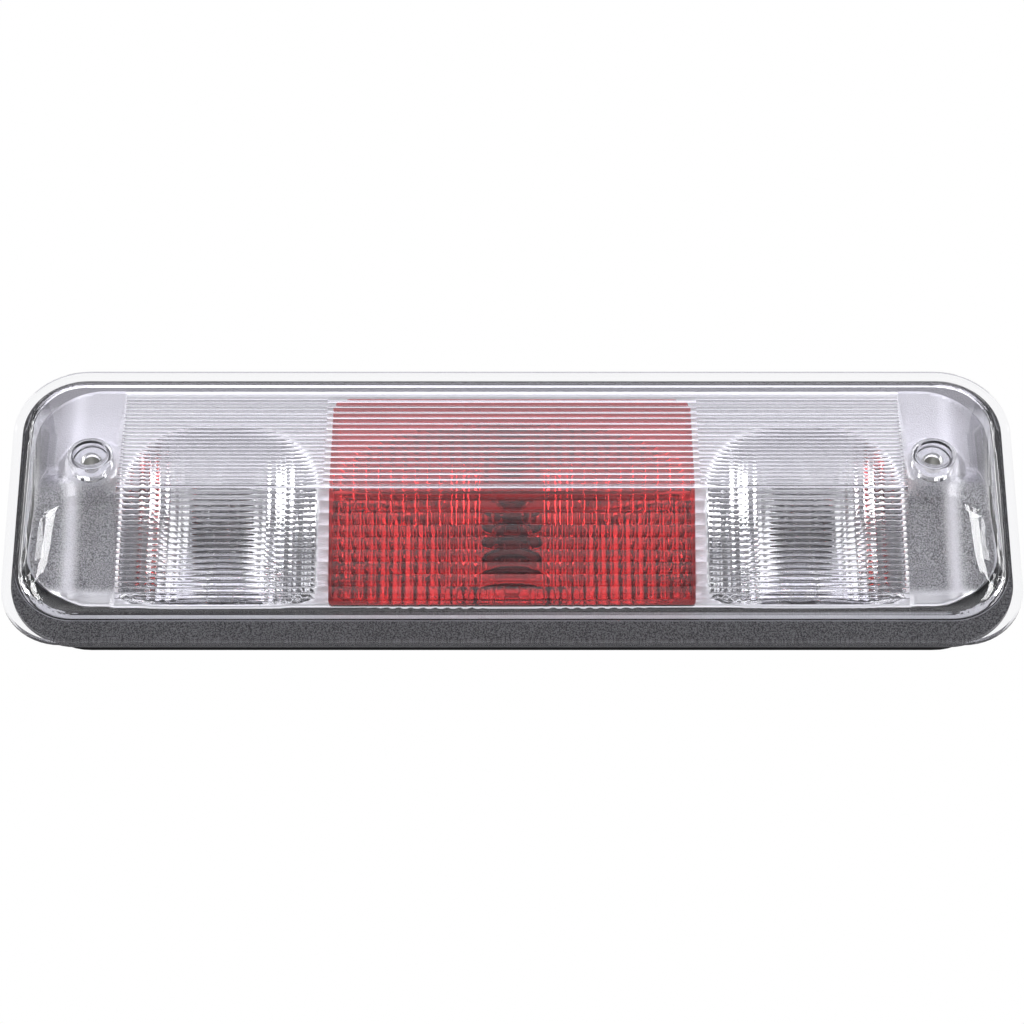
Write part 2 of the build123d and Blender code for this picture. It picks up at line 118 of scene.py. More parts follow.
@dataclass(frozen=True)
class Outline:
    """Rectangle with rounded corners, given by its half length and its foot and head."""

    half: float
    foot: float
    head: float
    corner: float

    @property
    def centre(self) -> float:
        """Height of the outline's middle."""
        return (self.foot + self.head) / 2

    @property
    def reach(self) -> float:
        """Half of the outline's height."""
        return (self.head - self.foot) / 2

    def offset(self, along: float, up: float) -> float:
        """Measures how far a place is outside the outline.

        Args:
            along: Place along the lamp.
            up: Place up the flange.

        Returns:
            The distance, negative inside the outline.
        """
        over = abs(along) - (self.half - self.corner)
        rise = abs(up - self.centre) - (self.reach - self.corner)
        outside = math.hypot(max(over, 0.0), max(rise, 0.0))
        return outside + min(max(over, rise), 0.0) - self.corner

    def pull(self, along: float, up: float) -> tuple[float, float]:
        """Moves a place near the outline on to it, against the slope of its distance.

        Args:
            along: Place along the lamp.
            up: Place up the flange.

        Returns:
            The place on the outline.
        """
        step = 1e-5
        rounds = 3
        for _ in range(rounds):
            gap = self.offset(along, up)
            slope_along = (self.offset(along + step, up) - gap) / step
            slope_up = (self.offset(along, up + step) - gap) / step
            along -= gap * slope_along
            up -= gap * slope_up
        return along, up

    def at(self, share: float) -> tuple[float, float]:
        """Finds a place on the outline.

        Args:
            share: Share of the way round, from the middle of the foot.

        Returns:
            The place along the lamp and up the flange.
        """
        flat = self.half - self.corner
        side = self.reach - self.corner
        turn = self.corner * math.pi / 2
        runs = [flat, turn, 2 * side, turn, 2 * flat, turn, 2 * side, turn, flat]
        travel = (share % 1.0) * sum(runs)
        place = Vector((0.0, self.foot))
        heading = 0.0
        for count, run in enumerate(runs):
            part = min(travel, run)
            is_straight = count % 2 == 0
            if is_straight:
                place += Vector((math.cos(heading), math.sin(heading))) * part
            else:
                bend = part / self.corner
                chord = 2 * self.corner * math.sin(bend / 2)
                aim = heading + bend / 2
                place += Vector((math.cos(aim), math.sin(aim))) * chord
                heading += bend
            travel -= part
            if travel <= 0:
                break
        return place.x, place.y


# ---------------------------------------------------------------- node trees


def opaque(colour: Colour) -> tuple[float, float, float, float]:
    """Adds full alpha to a colour."""
    return (*colour, 1.0)


class Sheet:
    """A node tree with short calls for what the finishes share."""

    def __init__(self, tree: bpy.types.NodeTree) -> None:
        """Takes the tree to fill."""
        self.tree = tree

    def node(self, kind: str, **settings: object) -> Node:
        """Adds a node and sets its properties.

        Args:
            kind: The node's type name.
            settings: Property values of the node.

        Returns:
            The new node.
        """
        made = self.tree.nodes.new(kind)
        for key, value in settings.items():
            setattr(made, key, value)
        return made

    def feed(self, target: Socket, value: object) -> None:
        """Fills an input.

        Args:
            target: The input.
            value: A socket to link to it, or a number or colour to set.
        """
        if isinstance(value, bpy.types.NodeSocket):
            self.tree.links.new(value, target)
        elif target.type == "RGBA":
            target.default_value = opaque(value)
        else:
            target.default_value = value

    def math(self, operation: str, *values: object) -> Socket:
        """Adds a math node.

        Args:
            operation: The math operation.
            values: Its inputs, sockets or numbers.

        Returns:
            The result.
        """
        made = self.node("ShaderNodeMath", operation=operation)
        for target, value in zip(made.inputs, values):
            self.feed(target, value)
        return made.outputs[0]

    def noise(self, place: Socket, scale: object, detail: float) -> Socket:
        """Adds a noise texture.

        Args:
            place: Where to read the texture.
            scale: Cells per metre.
            detail: Number of finer layers.

        Returns:
            The noise value.
        """
        texture = self.node("ShaderNodeTexNoise")
        self.feed(texture.inputs["Vector"], place)
        self.feed(texture.inputs["Scale"], scale)
        self.feed(texture.inputs["Detail"], detail)
        return texture.outputs["Fac"]

    def ramp(self, value: Socket, low: float, high: float, start: float, end: float) -> Socket:
        """Maps a value smoothly from one range to another.

        Args:
            value: Input value.
            low: Input that gives start.
            high: Input that gives end.
            start: Output at low.
            end: Output at high.

        Returns:
            The mapped value.
        """
        mapping = self.node("ShaderNodeMapRange", interpolation_type="SMOOTHSTEP")
        numbers = {"From Min": low, "From Max": high, "To Min": start, "To Max": end}
        for name, number in numbers.items():
            self.feed(mapping.inputs[name], number)
        self.feed(mapping.inputs["Value"], value)
        return mapping.outputs["Result"]

    def mix(self, share: Socket, first: object, second: object) -> Socket:
        """Mixes two colours by a share.

        Args:
            share: 0 for the first colour and 1 for the second.
            first: First colour.
            second: Second colour.

        Returns:
            The mixed colour.
        """
        mixer = self.node("ShaderNodeMix", data_type="RGBA")
        colours = [socket for socket in mixer.inputs if socket.type == "RGBA"]
        for target, value in zip(colours, (first, second)):
            self.feed(target, value)
        self.feed(mixer.inputs["Factor"], share)
        return next(socket for socket in mixer.outputs if socket.type == "RGBA")

    def bump(self, height: Socket, strength: float, distance: float) -> Socket:
        """Adds a bump node.

        Args:
            height: Height of the relief, from 0 to 1.
            strength: How strongly the relief shows.
            distance: Depth of the relief in metres.

        Returns:
            The bent normal.
        """
        relief = self.node("ShaderNodeBump")
        self.feed(relief.inputs["Strength"], strength)
        self.feed(relief.inputs["Distance"], distance)
        self.feed(relief.inputs["Height"], height)
        return relief.outputs["Normal"]

    def split(self, place: Socket) -> tuple[Socket, Socket, Socket]:
        """Splits a vector.

        Args:
            place: The vector.

        Returns:
            Its x, y and z.
        """
        parts = self.node("ShaderNodeSeparateXYZ")
        self.feed(parts.inputs[0], place)
        return parts.outputs[0], parts.outputs[1], parts.outputs[2]

    def group(self, tree: bpy.types.NodeTree, **values: object) -> Node:
        """Places a node group.

        Args:
            tree: The group.
            values: Its inputs by name, with _ for a space.

        Returns:
            The group's node.
        """
        made = self.node("ShaderNodeGroup", node_tree=tree)
        for name, value in values.items():
            self.feed(made.inputs[name.replace("_", " ")], value)
        return made


class MaterialSheet(Sheet):
    """The node tree of a new material."""

    def __init__(self, name: str) -> None:
        """Starts an empty material.

        Args:
            name: The material's name.
        """
        self.material = bpy.data.materials.new(name)
        self.material.use_nodes = True
        super().__init__(self.material.node_tree)
        self.tree.nodes.clear()
        self.output = self.node("ShaderNodeOutputMaterial")
        self.place = self.node("ShaderNodeTexCoord").outputs["Object"]

    def principled(self, colour: Colour, roughness: float, metallic: float = 0.0) -> Node:
        """Adds a Principled shader with plain base values.

        Args:
            colour: Base colour.
            roughness: Surface roughness.
            metallic: Metallic share.

        Returns:
            The shader node.
        """
        shader = self.node("ShaderNodeBsdfPrincipled")
        self.feed(shader.inputs["Base Color"], colour)
        self.feed(shader.inputs["Roughness"], roughness)
        self.feed(shader.inputs["Metallic"], metallic)
        return shader

    def finish(self, shader: Node) -> bpy.types.Material:
        """Joins the last shader to the output and gives the material."""
        self.tree.links.new(shader.outputs[0], self.output.inputs["Surface"])
        return self.material


class GroupSheet(Sheet):
    """A shader node group with named inputs and outputs."""

    def __init__(self, name: str, inputs: dict[str, str], outputs: list[str]) -> None:
        """Starts a group.

        Args:
            name: The group's name.
            inputs: Socket type of each input by name.
            outputs: Names of the float outputs.
        """
        super().__init__(bpy.data.node_groups.new(name, "ShaderNodeTree"))
        for label, kind in inputs.items():
            self.tree.interface.new_socket(label, in_out="INPUT", socket_type=kind)
        for label in outputs:
            self.tree.interface.new_socket(label, in_out="OUTPUT", socket_type="NodeSocketFloat")
        self.inputs = self.node("NodeGroupInput").outputs
        self.outputs = self.node("NodeGroupOutput").inputs


@dataclass(frozen=True)
class SharedEffects:
    """Node groups that more than one finish uses."""

    speckle: bpy.types.NodeTree
    frame_edge: bpy.types.NodeTree

    @classmethod
    def build(cls) -> "SharedEffects":
        """Builds the groups once."""
        return cls(cls._speckle(), cls._frame_edge())

    @staticmethod
    def _speckle() -> bpy.types.NodeTree:
        """Builds a fine grain and a slow mottle, each a noise stretched to the span 0 to 1.

        Returns:
            The group.
        """
        # each layer: its detail, and the noise values that become 0 and 1
        layers = {"Grain": (2.0, 0.34, 0.66), "Mottle": (3.0, 0.3, 0.7)}
        scales = {f"{name} Scale": "NodeSocketFloat" for name in layers}
        sheet = GroupSheet("speckle", {"Place": "NodeSocketVector", **scales}, list(layers))
        for name, (detail, low, high) in layers.items():
            value = sheet.noise(sheet.inputs["Place"], sheet.inputs[f"{name} Scale"], detail)
            sheet.feed(sheet.outputs[name], sheet.ramp(value, low, high, 0.0, 1.0))
        return sheet.tree

    @staticmethod
    def _frame_edge() -> bpy.types.NodeTree:
        """Builds the distance outside a rounded rectangle that lies across Y.

        Returns:
            The group.
        """
        numbers = ("Half Length", "Half Height", "Middle", "Corner")
        sheet = GroupSheet(
            "frame_edge",
            {"Place": "NodeSocketVector", **{name: "NodeSocketFloat" for name in numbers}},
            ["Distance"],
        )
        along, _, height = sheet.split(sheet.inputs["Place"])
        corner = sheet.inputs["Corner"]
        reach = sheet.math("ABSOLUTE", along)
        lift = sheet.math("ABSOLUTE", sheet.math("SUBTRACT", height, sheet.inputs["Middle"]))
        over, rise = (
            sheet.math("ADD", sheet.math("SUBTRACT", part, sheet.inputs[half]), corner)
            for part, half in ((reach, "Half Length"), (lift, "Half Height"))
        )
        squares = [
            sheet.math("POWER", sheet.math("MAXIMUM", part, 0.0), 2.0) for part in (over, rise)
        ]
        outside = sheet.math("SQRT", sheet.math("ADD", *squares))
        inside = sheet.math("MINIMUM", sheet.math("MAXIMUM", over, rise), 0.0)
        total = sheet.math("ADD", outside, inside)
        sheet.feed(sheet.outputs["Distance"], sheet.math("SUBTRACT", total, corner))
        return sheet.tree


# ---------------------------------------------------------------- finishes


@dataclass(frozen=True)
class ClearFinish:
    """Transparent moulded plastic or glass that lets light through to what it covers."""

    name: str
    tint: Colour = (0.985, 0.985, 0.995)
    shade: Colour = (0.97, 0.97, 0.98)
    roughness: float = 0.0
    ior: float = 1.49
    ripples_per_metre: float = 70.0
    ripple_strength: float = 0.3
    ripple_depth: float = 0.00001

    def build(self, effects: SharedEffects) -> bpy.types.Material:
        """Builds the material.

        Args:
            effects: The shared node groups.

        Returns:
            The material.
        """
        sheet = MaterialSheet(self.name)
        solid = sheet.principled(self.tint, self.roughness)
        solid.inputs["Transmission Weight"].default_value = 1.0
        solid.inputs["IOR"].default_value = self.ior
        speckle = sheet.group(
            effects.speckle, Place=sheet.place, Mottle_Scale=self.ripples_per_metre
        )
        ripple = sheet.bump(speckle.outputs["Mottle"], self.ripple_strength, self.ripple_depth)
        sheet.feed(solid.inputs["Normal"], ripple)
        clear = sheet.node("ShaderNodeBsdfTransparent")
        sheet.feed(clear.inputs["Color"], self.shade)
        rays = sheet.node("ShaderNodeLightPath")
        choice = sheet.node("ShaderNodeMixShader")
        sheet.feed(choice.inputs[0], rays.outputs["Is Shadow Ray"])
        sheet.feed(choice.inputs[1], solid.outputs[0])
        sheet.feed(choice.inputs[2], clear.outputs[0])
        return sheet.finish(choice)


@dataclass(frozen=True)
class MetallisedFinish:
    """Bright metallised plastic: polished bowls, satin brim and speckled grain at both ends, with
    painted shade on the bowls' arch, the ends and their grain and painted light on each end's
    crest and foot.
    """

    name: str = "metallised_plastic"
    polished: Colour = (0.82, 0.82, 0.83)
    # painted shade: the bowls' upper arch is given a darker tone than their polished floor
    arch_painted_shade: Colour = (0.42, 0.42, 0.43)
    satin: Colour = (0.95, 0.95, 0.96)
    # painted shade: the ends' plain tone, and the darker tone past the rim's start
    end_painted_shade: Colour = (0.6, 0.6, 0.62)
    rim_painted_shade: Colour = (0.2, 0.2, 0.21)
    # painted light: the smooth strip at each end's foot is given a near-white tone
    foot_painted_light: Colour = (0.97, 0.97, 0.98)
    # speckled grain tones of the ends, both kept dark as painted shade
    grain_pale_with_shade: Colour = (0.42, 0.42, 0.43)
    grain_dark_with_shade: Colour = (0.1, 0.1, 0.105)
    polished_roughness: float = 0.07
    satin_roughness: float = 0.3
    grain_from: float = 0.1442
    grain_edge: float = 0.0008
    grain_level: float = -0.002
    grain_fade: float = 0.014
    head_grain: float = 0.25
    rim_from: float = 0.1615
    rim_fade: float = 0.009
    foot_level: float = -0.0470
    foot_fade: float = 0.006
    # painted highlight: a light band along the crest of each end's ridge
    crest_along: float = 0.1612
    crest_reach: float = 0.0042
    crest_share: float = 0.75
    crest_painted_highlight: Colour = (0.85, 0.85, 0.87)
    arch_level: float = -0.006
    arch_fade: float = 0.016
    brim: float = -0.0072
    brim_edge: float = 0.0004
    grains_per_metre: float = 2100.0
    grain_strength: float = 0.9
    grain_depth: float = 0.00022

    def build(self, effects: SharedEffects) -> bpy.types.Material:
        """Builds the material.

        Args:
            effects: The shared node groups.

        Returns:
            The material.
        """
        sheet = MaterialSheet(self.name)
        along, depth, height = sheet.split(sheet.place)
        reach = sheet.math("ABSOLUTE", along)
        end = sheet.ramp(reach, self.grain_from, self.grain_from + self.grain_edge, 0.0, 1.0)
        low = sheet.ramp(
            height, self.grain_level, self.grain_level - self.grain_fade, self.head_grain, 1.0
        )
        # the smooth, ungrained strip at each end's foot, painted lighter as painted light
        foot = sheet.ramp(height, self.foot_level, self.foot_level - self.foot_fade, 0.0, 1.0)
        grained = sheet.math(
            "MULTIPLY", sheet.math("MULTIPLY", end, low), sheet.math("SUBTRACT", 1.0, foot)
        )
        brim = sheet.ramp(depth, self.brim + self.brim_edge, self.brim, 0.0, 1.0)
        speckle = sheet.group(
            effects.speckle, Place=sheet.place, Grain_Scale=self.grains_per_metre
        )
        shader = sheet.principled(self.polished, self.polished_roughness, 1.0)
        # painted shade darkening the upper arch of each bowl
        arched = sheet.ramp(
            height, self.arch_level, self.arch_level + self.arch_fade, 0.0, 1.0
        )
        bowl = sheet.mix(arched, self.polished, self.arch_painted_shade)
        # painted shade: the ends' plain tone darkens further past the rim's start
        rim_shade = sheet.ramp(reach, self.rim_from, self.rim_from + self.rim_fade, 0.0, 1.0)
        tone = sheet.mix(foot, sheet.mix(rim_shade, self.end_painted_shade, self.rim_painted_shade), self.foot_painted_light)
        plain = sheet.mix(end, sheet.mix(brim, bowl, self.satin), tone)
        # speckled grain of the ends, its tones darkened as painted shade
        grain = sheet.mix(speckle.outputs["Grain"], self.grain_dark_with_shade, self.grain_pale_with_shade)
        # painted highlight along each end's ridge crest, over the grain
        away = sheet.math("ABSOLUTE", sheet.math("SUBTRACT", reach, self.crest_along))
        crest_highlight = sheet.ramp(away, 0.0, self.crest_reach, self.crest_share, 0.0)
        grain = sheet.mix(crest_highlight, grain, self.crest_painted_highlight)
        sheet.feed(shader.inputs["Base Color"], sheet.mix(grained, plain, grain))
        sheet.feed(
            shader.inputs["Roughness"],
            sheet.ramp(brim, 0.0, 1.0, self.polished_roughness, self.satin_roughness),
        )
        relief = sheet.math("MULTIPLY", grained, speckle.outputs["Grain"])
        sheet.feed(
            shader.inputs["Normal"], sheet.bump(relief, self.grain_strength, self.grain_depth)
        )
        return sheet.finish(shader)


@dataclass(frozen=True)
class HousingFinish:
    """Grained grey plastic outside the lens dome; inside it, a ledge with a painted highlight and
    painted shade at its head, and a painted shadow line.

    The levels are heights up the flange from its middle.
    """

    dome: Outline
    shadow_line_edge: Outline
    middle: float
    name: str = "housing_plastic"
    grey_dark: Colour = (0.035, 0.035, 0.037)
    grey_light: Colour = (0.23, 0.23, 0.24)
    # painted shadow: near-black line on the housing under the reflector's edge, inside the dome
    painted_shadow: Colour = (0.004, 0.004, 0.004)
    # painted highlight: the ledge inside the dome is lighter than the grained grey outside it, and
    # painted shade darkens its head
    ledge_painted_light: Colour = (0.42, 0.42, 0.45)
    ledge_head_painted_shade: Colour = (0.05, 0.05, 0.055)
    ledge_level: float = 0.036
    ledge_head_level: float = 0.044
    # the painted shadow line is narrow up the sides and widens towards the foot and lower corners
    shadow_line_width: float = 0.0006
    shadow_line_level: float = -0.008
    shadow_foot_width: float = 0.0060
    foot_level: float = -0.034
    shadow_line_fade: float = 0.0002
    edge_fade: float = 0.0003
    back: Colour = (0.03, 0.03, 0.032)
    front: float = -0.0055
    gloss_roughness: float = 0.36
    dull_roughness: float = 0.48
    grains_per_metre: float = 1900.0
    mottles_per_metre: float = 90.0
    grain_strength: float = 0.5
    grain_depth: float = 0.00025

    def build(self, effects: SharedEffects) -> bpy.types.Material:
        """Builds the material.

        Args:
            effects: The shared node groups.

        Returns:
            The material.
        """
        sheet = MaterialSheet(self.name)
        _, depth, height = sheet.split(sheet.place)
        outside = self.beyond(sheet, effects, self.dome)
        line = self.beyond(sheet, effects, self.shadow_line_edge)
        speckle = sheet.group(
            effects.speckle, Place=sheet.place, Grain_Scale=self.grains_per_metre,
            Mottle_Scale=self.mottles_per_metre,
        )
        front = sheet.ramp(depth, self.front + self.edge_fade, self.front, 0.0, 1.0)
        shader = sheet.principled(self.back, self.gloss_roughness)
        grain = sheet.mix(speckle.outputs["Grain"], self.grey_dark, self.grey_light)
        grained = sheet.ramp(outside, 0.0, self.edge_fade, 0.0, 1.0)
        level = sheet.math("SUBTRACT", height, self.middle)
        width = sheet.ramp(
            level, self.shadow_line_level, self.foot_level, self.shadow_line_width, self.shadow_foot_width
        )
        # painted shadow: a near-black line just inside its outline, widening towards the foot
        inside = sheet.ramp(line, 0.0, -self.shadow_line_fade, 0.0, 1.0)
        near = sheet.math("LESS_THAN", sheet.math("ABSOLUTE", line), width)
        dark = sheet.math("MULTIPLY", inside, near)
        # painted highlight on the ledge, fading into painted shade towards its head
        head = sheet.ramp(level, self.ledge_level, self.ledge_head_level, 0.0, 1.0)
        ledge_painted_light = sheet.mix(head, self.ledge_painted_light, self.ledge_head_painted_shade)
        lit = sheet.mix(dark, sheet.mix(grained, ledge_painted_light, grain), self.painted_shadow)
        sheet.feed(shader.inputs["Base Color"], sheet.mix(front, self.back, lit))
        roughness = sheet.ramp(
            speckle.outputs["Mottle"], 0.0, 1.0, self.gloss_roughness, self.dull_roughness
        )
        sheet.feed(shader.inputs["Roughness"], roughness)
        relief = sheet.bump(speckle.outputs["Grain"], self.grain_strength, self.grain_depth)
        sheet.feed(shader.inputs["Normal"], relief)
        return sheet.finish(shader)

    def beyond(self, sheet: MaterialSheet, effects: SharedEffects, edge: Outline) -> Socket:
        """Measures how far a surface point is outside an outline.

        Args:
            sheet: The material's sheet.
            effects: The shared node groups.
            edge: The outline.

        Returns:
            The distance, negative inside the outline.
        """
        placed = sheet.group(
            effects.frame_edge, Place=sheet.place, Half_Length=edge.half,
            Half_Height=edge.reach, Middle=edge.centre + self.middle, Corner=edge.corner,
        )
        return placed.outputs["Distance"]


@dataclass(frozen=True)
class SolidFinish:
    """Opaque finish with fine relief and a slight unevenness of colour and gloss."""

    name: str
    colour: Colour
    roughness: float
    metallic: float = 0.0
    relief: Relief = Relief.GRAINED
    cells_per_metre: float = 1800.0
    mottles_per_metre: float = 80.0
    strength: float = 0.6
    depth: float = 0.0001
    unevenness: float = 0.15
    gloss: float = 0.5

    def build(self, effects: SharedEffects) -> bpy.types.Material:
        """Builds the material.

        Args:
            effects: The shared node groups.

        Returns:
            The material.
        """
        sheet = MaterialSheet(self.name)
        shader = sheet.principled(self.colour, self.roughness, self.metallic)
        shader.inputs["Specular IOR Level"].default_value = self.gloss
        speckle = sheet.group(
            effects.speckle, Place=sheet.place, Grain_Scale=self.cells_per_metre,
            Mottle_Scale=self.mottles_per_metre,
        )
        dark = tuple(part * (1 - self.unevenness) for part in self.colour)
        light = tuple(min(1.0, part * (1 + self.unevenness)) for part in self.colour)
        mottle = speckle.outputs["Mottle"]
        sheet.feed(shader.inputs["Base Color"], sheet.mix(mottle, dark, light))
        spread = self.roughness * self.unevenness
        sheet.feed(
            shader.inputs["Roughness"],
            sheet.ramp(mottle, 0.0, 1.0, self.roughness - spread, self.roughness + spread),
        )
        if self.relief is Relief.FOAMED:
            cells = sheet.node("ShaderNodeTexVoronoi")
            sheet.feed(cells.inputs["Scale"], self.cells_per_metre)
            sheet.feed(cells.inputs["Vector"], sheet.place)
            height = cells.outputs["Distance"]
        else:
            height = speckle.outputs["Grain"]
        if self.relief is not Relief.POLISHED:
            sheet.feed(shader.inputs["Normal"], sheet.bump(height, self.strength, self.depth))
        return sheet.finish(shader)


# ---------------------------------------------------------------- mesh helpers


def new_piece(
    name: str, mesh: bmesh.types.BMesh, finish: bpy.types.Material, crease: float = 0.6
) -> bpy.types.Object:
    """Makes an object from a bmesh and frees the bmesh.

    Args:
        name: The piece's name.
        mesh: The finished bmesh.
        finish: The piece's material.
        crease: Angle in radians past which an edge stays sharp.

    Returns:
        The new object.
    """
    data = bpy.data.meshes.new(name)
    for face in mesh.faces:
        face.smooth = True
    for edge in mesh.edges:
        if len(edge.link_faces) == 2 and edge.calc_face_angle(0.0) > crease:
            edge.smooth = False
    mesh.to_mesh(data)
    mesh.free()
    data.materials.append(finish)
    piece = bpy.data.objects.new(name, data)
    bpy.context.scene.collection.objects.link(piece)
    return piece


def paint(node: bpy.types.Object, finish: bpy.types.Material) -> None:
    """Gives a CAD node one finish."""
    node.data.materials.clear()
    node.data.materials.append(finish)


def smooth_max(first: float, second: float, blend: float) -> float:
    """Larger of two values with a rounded change-over of a given size."""
    gap = max(blend - abs(first - second), 0.0) / blend
    return max(first, second) + gap * gap * blend / 4


def smooth_step(value: float, low: float, high: float) -> float:
    """Smooth climb from 0 at low to 1 at high."""
    share = min(max((value - low) / (high - low), 0.0), 1.0)
    return share * share * (3 - 2 * share)


@dataclass(frozen=True)
class RingSection:
    """Cross-section of a ring with soft corners."""

    back: float
    front: float
    squareness: float
    steps: int

    def at(self, turn: float) -> tuple[float, float]:
        """Finds a place on the section.

        Args:
            turn: Share of the way round the section.

        Returns:
            The share of the way across the ring, and the height out.
        """
        angle = 2 * math.pi * turn
        power = 2 / self.squareness
        across = math.copysign(abs(math.cos(angle)) ** power, math.cos(angle))
        rise = math.copysign(abs(math.sin(angle)) ** power, math.sin(angle))
        middle = (self.back + self.front) / 2
        return 0.5 + 0.5 * across, middle + (self.front - self.back) / 2 * rise


def swept_ring(
    frame: LampFrame, outer: Outline, inner: Outline, section: RingSection, segments: int
) -> bmesh.types.BMesh:
    """Wraps a grid round a ring between two outlines.

    Args:
        frame: The lamp's frame.
        outer: Outline of the ring's outer side.
        inner: Outline of its inner side.
        section: Cross-section of the ring.
        segments: Steps round the ring.

    Returns:
        The closed ring.
    """
    mesh = bmesh.new()
    bmesh.ops.create_grid(mesh, x_segments=section.steps, y_segments=segments, size=1.0)
    for vertex in mesh.verts:
        share, out = section.at((vertex.co.x + 1) / 2)
        way = (vertex.co.y + 1) / 2
        ends = zip(outer.at(way), inner.at(way))
        along, up = (outside + (inside - outside) * share for outside, inside in ends)
        vertex.co = frame.point(along, up, out)
    bmesh.ops.remove_doubles(mesh, verts=mesh.verts, dist=WELD_DISTANCE)
    bmesh.ops.recalc_face_normals(mesh, faces=mesh.faces)
    return mesh


# ---------------------------------------------------------------- lens and rings


@dataclass
class LensCover:
    """The clear lens and its red filter, with the lens's ends rolled down to its walls."""

    frame: LampFrame
    nodes: dict[str, bpy.types.Object]
    clear: bpy.types.Material
    red: bpy.types.Material
    flange_front: float = 0.0084
    roll_start: float = 0.1565
    recess_end: float = 0.1636
    roll_end: float = 0.1765
    roll_depth: float = 0.64
    roll_margin: float = 0.004
    roll_steps: int = 20
    recess_climb: Span = (-0.006, 0.005)
    crease: float = math.radians(28)

    def rolled(self, along: float, up: float, out: float) -> float:
        """Rolls the end of the dome down, further out where the screw recess is.

        Args:
            along: Place along the lamp.
            up: Place up the flange.
            out: Height of the dome there.

        Returns:
            The rolled height.
        """
        beside = smooth_step(up, *self.recess_climb)
        start = self.roll_start + (self.recess_end - self.roll_start) * beside
        share = max(abs(along) - start, 0.0) / (self.roll_end - start)
        keep = 1 - self.roll_depth * share * share
        return self.flange_front + (out - self.flange_front) * keep

    def build(self) -> bpy.types.Object:
        """Cuts the ends of a copy of the lens into strips and rolls them down.

        Returns:
            The lens piece.
        """
        mesh = bmesh.new()
        mesh.from_mesh(self.nodes["outer_lens"].data)
        bmesh.ops.remove_doubles(mesh, verts=mesh.verts, dist=WELD_DISTANCE)
        spacing = (self.roll_end + self.roll_margin - self.roll_start) / self.roll_steps
        for side in (-1, 1):
            for step in range(self.roll_steps):
                cut = side * (self.roll_start + spacing * step)
                bmesh.ops.bisect_plane(
                    mesh, geom=[*mesh.verts, *mesh.edges, *mesh.faces], dist=CUT_TOLERANCE,
                    plane_co=(cut, 0, 0), plane_no=(1, 0, 0),
                )
        for vertex in mesh.verts:
            out = -vertex.co.y
            if out > self.flange_front and abs(vertex.co.x) > self.roll_start:
                up = vertex.co.z - self.frame.middle
                vertex.co.y = -self.rolled(vertex.co.x, up, out)
        lens = new_piece("lens_cover", mesh, self.clear, self.crease)
        even = lens.modifiers.new("even_shading", "WEIGHTED_NORMAL")
        even.keep_sharp = True
        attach(lens, "lamp")
        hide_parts("outer_lens")
        paint(self.nodes["red_filter"], self.red)
        return lens


@dataclass(frozen=True)
class RingShape:
    """Plan and softness of a ring that fills the box of a CAD node."""

    corner: float
    width: float
    head_width: float
    squareness: float
    steps: int

    def build(self, frame: LampFrame, node: str, segments: int) -> bmesh.types.BMesh:
        """Builds the ring in the node's box.

        Args:
            frame: The lamp's frame.
            node: Name of the CAD node.
            segments: Steps round the ring.

        Returns:
            The closed ring.
        """
        low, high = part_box(node)
        outer = Outline(high.x, low.z - frame.middle, high.z - frame.middle, self.corner)
        inner = Outline(
            outer.half - self.width, outer.foot + self.width, outer.head - self.head_width,
            self.corner - self.width,
        )
        section = RingSection(-high.y, -low.y, self.squareness, self.steps)
        return swept_ring(frame, outer, inner, section, segments)


@dataclass
class Seals:
    """Foam gasket on the back of the flange and the sealing bead under the dome wall."""

    frame: LampFrame
    foam: bpy.types.Material
    bead: bpy.types.Material
    gasket_shape: RingShape = RingShape(
        corner=0.020, width=0.0086, head_width=0.0064, squareness=5.0, steps=16
    )
    bead_shape: RingShape = RingShape(
        corner=0.0218, width=0.002, head_width=0.002, squareness=3.0, steps=10
    )
    segments: int = 300

    def gasket(self) -> bpy.types.Object:
        """Builds the soft-cornered foam ring.

        Returns:
            The gasket piece.
        """
        mesh = self.gasket_shape.build(self.frame, "mounting_gasket", self.segments)
        piece = new_piece("foam_gasket", mesh, self.foam, math.pi)
        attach(piece, "lamp")
        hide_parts("mounting_gasket")
        return piece

    def sealing_bead(self) -> bpy.types.Object:
        """Builds the rounded bead.

        Returns:
            The bead piece.
        """
        mesh = self.bead_shape.build(self.frame, "lens_seal", self.segments)
        piece = new_piece("sealing_bead", mesh, self.bead, math.pi)
        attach(piece, "lamp")
        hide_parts("lens_seal")
        return piece


# ---------------------------------------------------------------- reflector


@dataclass
class Bowl:
    """One bowl of the reflector: an arched dish with upright flutes beside its smooth middle."""

    along: float
    half: float
    flute: float
    smooth_half: float
    flute_depth: float
    up: float = -0.002
    foot_reach: float = 0.0400
    head_reach: float = 0.0330
    side_power: float = 2.6
    head_power: float = 2.0
    foot_power: float = 6.0
    corner_power: float = 3.0
    floor: float = -0.0124

    def depth_share(self, along: float, up: float) -> float:
        """Finds how far the bowl has climbed at a place.

        Args:
            along: Place along the lamp.
            up: Place up the flange.

        Returns:
            The share of the way from the bowl's floor to its brim, over 1 outside the bowl.
        """
        across = (abs(along - self.along) / self.half) ** self.side_power
        rise = up - self.up
        if rise > 0:
            return across + (rise / self.head_reach) ** self.head_power
        below = (-rise / self.foot_reach) ** self.foot_power
        return (across**self.corner_power + below**self.corner_power) ** (1 / self.corner_power)

    def out(self, along: float, up: float, brim: float) -> float:
        """Height of the bowl's surface.

        Args:
            along: Place along the lamp.
            up: Place up the flange.
            brim: Height of the bowl's brim.

        Returns:
            The height out from the panel.
        """
        surface = self.floor + (brim - self.floor) * self.depth_share(along, up)
        side = abs(along - self.along) - self.smooth_half
        if side > 0:
            phase = (side / self.flute) % 1.0
            fade = min(side / self.flute, 1.0)
            crown = 4 * phase * (1 - phase)
            surface += self.flute_depth * fade * (crown - 0.5)
        return surface


